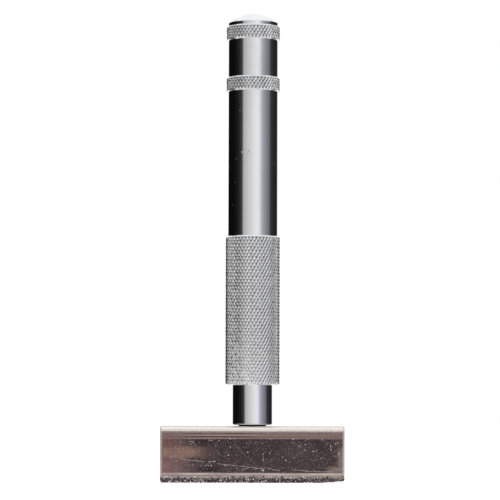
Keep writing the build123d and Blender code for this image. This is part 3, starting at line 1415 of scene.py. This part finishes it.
    def build(self) -> bpy.types.Object:
        """Make bond and grains as one mesh."""
        draft = Draft()
        self.bond(draft)
        self.grains(draft)
        layer = draft.finish("grit_layer", GritFinish().make(), sharp=20)
        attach(layer, BODY)
        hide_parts("diamond_layer")
        return layer


# The studio


@dataclass(frozen=True)
class LightStop:
    """How bright the studio is in one direction round the object.

    Attributes:
        azimuth: degrees from the camera's side, growing to the right.
        low: brightness near the horizon, which the plain shaft mirrors.
        high: brightness at the height that the knurl's upper facets mirror.
        crown: brightness above that, which the collars' upper facets mirror.
        below: how much of the high brightness there is as far below the horizon.
        tint: how much of the tent's blue there is.
    """

    azimuth: float
    low: float
    high: float
    crown: float
    below: float
    tint: float = 0.0


@dataclass
class Studio:
    """Floor, light tent and the pale sheet that the object's shiny surfaces mirror.

    Attributes:
        floor_rings, sheet_rings: radius in mm and glow of each ring of the floor and the sheet.
        low_band: from where to where the low brightness holds, in degrees of elevation.
        crown: the same for the crown's brightness.
        low_turn: by how much the stops are turned at the horizon.
    """

    tent_radius: float = 2500
    tent_step: float = 2.0
    floor_rings: tuple = ((3000, 1), (1000, 1), (400, 1), (150, 1), (60, 1), (20, 1), (5, 1))
    floor_white: float = 0.25
    floor_glow: float = 0.9
    disc_columns: int = 96
    sheet_depth: float = 0.3
    sheet_rings: tuple = ((75, 0.5), (60, 0.75), (45, 1), (30, 1), (15, 1), (5, 1))
    overhead: float = 1.04
    overhead_tint: float = 0.25
    lavender: tuple = (0.965, 0.935, 1.11)
    slate: tuple = (0.93, 0.985, 1.09)
    stops: tuple = each(
        LightStop, (-180, 1.05, 1.15, 1.1, 1), (-175, 1, 1.15, 1.1, 1),
        (-168, 0.05, 1.15, 1.1, 1), (-160, 0.004, 1.15, 1.1, 0.8), (-149, 0.004, 0.85, 0.8, 0.4),
        (-140, 0.004, 0.34, 0.5, 0.2), (-133, 0.004, 0.07, 0.3, 0.5),
        (-115, 0.004, 0.09, 0.2, 0.5), (-102, 0.004, 0.25, 0.3, 0.6),
        (-88, 0.008, 0.62, 0.5, 0.8), (-75, 0.012, 1.2, 0.9, 0.4), (-62, 0.031, 0.66, 0.5, 0.6),
        (-51, 0.076, 1.0, 0.6, 0.35), (-46, 0.43, 0.88, 0.6, 0.3), (-38, 0.53, 0.84, 0.5, 0.25),
        (-28, 0.6, 0.74, 0.45, 0.1), (-20, 0.66, 0.8, 0.45, 0.05), (-11, 0.72, 0.82, 0.45, 0.05),
        (0, 0.8, 0.9, 0.45, 0.05, 0.05), (5, 0.84, 0.92, 0.5, 0.05, 0.1),
        (10, 0.87, 0.9, 0.6, 0.05, 0.15), (20, 0.9, 0.76, 0.9, 0.1, 0.25),
        (29, 0.85, 0.64, 1.2, 0.15, 0.35), (35, 0.71, 0.46, 1.2, 0.5, 0.6),
        (42, 0.5, 0.4, 1, 0.8, 0.9), (50, 0.39, 0.58, 1, 0.5, 1),
        (62, 0.285, 0.38, 0.7, 0.9, 1), (75, 0.21, 1, 1.2, 0.25, 1),
        (84, 0.15, 0.70, 1.0, 0.7, 1), (89, 0.055, 0.52, 0.8, 0.8, 1),
        (104, 0.03, 0.36, 0.6, 0.8, 1), (118, 0.022, 0.3, 0.6, 0.7, 1),
        (130, 0.018, 0.25, 0.6, 0.6, 0.8), (145, 0.02, 0.5, 0.7, 0.6, 0.6),
        (155, 0.05, 1, 1, 1, 0.4), (165, 0.3, 1.15, 1.1, 1, 0.2),
        (175, 1, 1.15, 1.1, 1), (180, 1.05, 1.15, 1.1, 1),
    )
    low_band: tuple[float, float] = (-3.0, 12.0)
    band_edge: float = 2.0
    low_turn: float = 4.0
    high_top: float = 32.0
    crown: tuple[float, float] = (34.0, 41.0)
    overhead_from: float = 47.0
    nadir: float = 0.3
    nadir_from: tuple = (62.0, 74.0)

    def around(self, azimuth: np.ndarray, name: str) -> np.ndarray:
        """Follow one of the stops' values round the object in straight lines."""
        values = [(stop.azimuth, getattr(stop, name)) for stop in self.stops]
        return np.interp(azimuth, *zip(*values))

    def brightness(self, azimuth: np.ndarray, elevation: np.ndarray) -> np.ndarray:
        """Return how bright the tent is.

        Round the object it follows the stops in straight lines, turned a little at the horizon. Up
        and down from the low band it goes from the low to the high value of that azimuth, to the
        crown and on to the overhead value, in straight lines too. Below the horizon the high value
        is dimmed, and the brightness falls off again towards the point underneath.

        Args:
            azimuth: degrees from the camera's side.
            elevation: degrees above the horizon.

        Returns:
            The brightness of each direction.
        """
        names = ("low", "high", "crown", "below")
        turned = azimuth - self.low_turn * np.clip(1 - np.abs(elevation) / 3, 0, 1)
        low, high, crown, share = (self.around(turned, name) for name in names)
        away = np.abs(elevation)
        outside = np.maximum(self.low_band[0] - elevation, elevation - self.low_band[1])
        to_high = np.clip(outside / self.band_edge, 0, 1)
        to_crown = np.clip((away - self.high_top) / (self.crown[0] - self.high_top), 0, 1)
        to_top = np.clip((away - self.crown[1]) / (self.overhead_from - self.crown[1]), 0, 1)
        below = elevation < 0
        upper = high + (crown - high) * to_crown
        side = low + (np.where(below, high * share, upper) - low) * to_high
        bottom = np.interp(away, self.nadir_from, (self.overhead, self.nadir))
        return side + (np.where(below, bottom, self.overhead) - side) * to_top

    @staticmethod
    def _shell(name: str, band: Band, middle: float, material: bpy.types.Material
               ) -> bpy.types.Object:
        """Make an open surface that is closed at its last ring.

        Args:
            name: its name.
            band: its rings, which carry their glow.
            middle: how high the point lies that closes it, in mm.
            material: its material.

        Returns:
            The surface.
        """
        draft = Draft()
        last = band.place(draft)[-1]
        glow = band.marks[Mark.GLOW][-1, 0]
        draft.add_fan(last, (0, 0, middle), marks={Mark.GLOW: glow})
        return draft.finish(name, material, sharp=180)

    def tent(self) -> bpy.types.Object:
        """Make the tent: a sphere of light seen from inside, hidden from the camera."""
        azimuth = (np.arange(0, 360, self.tent_step) + 270) % 360 - 180
        elevation = np.arange(-84, 86, 1.0)[:, None]
        low = (elevation > self.low_band[0]) & (elevation < self.low_band[1])
        tint = np.where(low, self.around(azimuth, "tint"), 0.0)
        tint = np.where(elevation > self.overhead_from, self.overhead_tint, tint)
        marks = {Mark.GLOW: self.brightness(azimuth, elevation), Mark.TINT: tint}
        angle = np.radians(elevation)
        outline = np.hstack([np.cos(angle), np.sin(angle)]) * self.tent_radius
        bench = Bench("studio_light")
        upward = bench.parts(bench.place())[2].rise(0.05, 0.20)
        shade = bench.blend(upward, self.lavender, self.slate)
        colour = bench.blend(bench.mark(Mark.TINT), (1, 1, 1), shade, clamp=False)
        light = bench.surface(Shader.EMISSION, Color=colour, Strength=bench.mark(Mark.GLOW))
        band = plain_band(outline, len(azimuth), marks)
        tent = self._shell("studio_tent", band, self.tent_radius, light)
        tent.visible_camera = False
        return tent

    def _disc(self, name: str, rings: tuple, height: float, material: bpy.types.Material
              ) -> bpy.types.Object:
        """Make a flat disc, seen from above.

        Args:
            name: the disc's name.
            rings: the radius in mm and the glow of each ring, the largest first.
            height: how high it lies, in mm.
            material: its material.

        Returns:
            The disc.
        """
        outline = [(radius, height) for radius, _ in rings]
        glow = np.array([[glow] for _, glow in rings], dtype=float)
        band = plain_band(outline, self.disc_columns, {Mark.GLOW: glow})
        return self._shell(name, band, height, material)

    def floor(self) -> bpy.types.Object:
        """Make the pale floor: a disc that glows, so that only a faint shadow is left."""
        white = (self.floor_white,) * 3 + (1.0,)
        material = Bench("pale_floor").surface(
            Shader.PRINCIPLED, Base_Color=white, Roughness=0.9, Specular_IOR_Level=0.0,
            Emission_Color=(1, 1, 1, 1), Emission_Strength=self.floor_glow)
        floor = self._disc("studio_floor", self.floor_rings, 0.0, material)
        floor.visible_glossy = False
        return floor

    def sheet(self) -> bpy.types.Object:
        """Make the sheet under the object that only mirrors see, bright in its middle."""
        bench = Bench("sheet_light")
        light = bench.surface(Shader.EMISSION, Color=(1, 1, 1, 1), Strength=bench.mark(Mark.GLOW))
        sheet = self._disc("mirrored_sheet", self.sheet_rings, -self.sheet_depth, light)
        sheet.visible_camera = False
        sheet.visible_diffuse = False
        return sheet

    def build(self) -> None:
        """Make the studio, mark it as no part of the object, and make the backdrop white."""
        self.floor()
        self.sheet()
        self.tent()
        world = bpy.data.worlds.new("white_backdrop")
        world.use_nodes = True
        world.node_tree.nodes["Background"].inputs["Color"].default_value = (1, 1, 1, 1)
        bpy.context.scene.world = world
        bpy.context.scene.view_settings.view_transform = "Standard"


@dataclass
class Camera:
    """The photograph's camera: level with the head and tipped up a little.

    Attributes:
        lens, sensor: its focal length and its picture's width, in mm.
        distance, sideways, height: its place, in metres.
        pitch, roll: by how many degrees it looks up and is turned.
    """

    lens: float = 200.0
    sensor: float = 36.0
    distance: float = 0.6776
    sideways: float = -0.00067
    height: float = 0.016
    pitch: float = 3.43
    roll: float = 0.15

    def build(self) -> None:
        """Make the camera and look through it."""
        data = bpy.data.cameras.new("photograph")
        data.lens = self.lens
        data.sensor_width = self.sensor
        data.clip_start, data.clip_end = 0.01, 20.0
        camera = bpy.data.objects.new("photograph", data)
        bpy.context.scene.collection.objects.link(camera)
        camera.location = (self.sideways, -self.distance, self.height)
        tip = Matrix.Rotation(math.radians(90 + self.pitch), 4, "X")
        roll = Matrix.Rotation(math.radians(self.roll), 4, "Z")
        camera.rotation_euler = (tip @ roll).to_euler()
        bpy.context.scene.camera = camera


def main() -> None:
    """Build the studio and the three pieces."""
    logging.basicConfig(level=logging.INFO, format="%(name)s: %(message)s")
    Camera().build()
    Studio().build()
    pieces = [
        Handle().build(),
        HeadBlock(*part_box("head_block")).build(),
        GritLayer(*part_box("diamond_layer")).build(),
    ]
    for piece in pieces:
        piece.data.calc_loop_triangles()
        log.info("%s: %d triangles", piece.name, len(piece.data.loop_triangles))


if __name__ == "__main__":
    main()
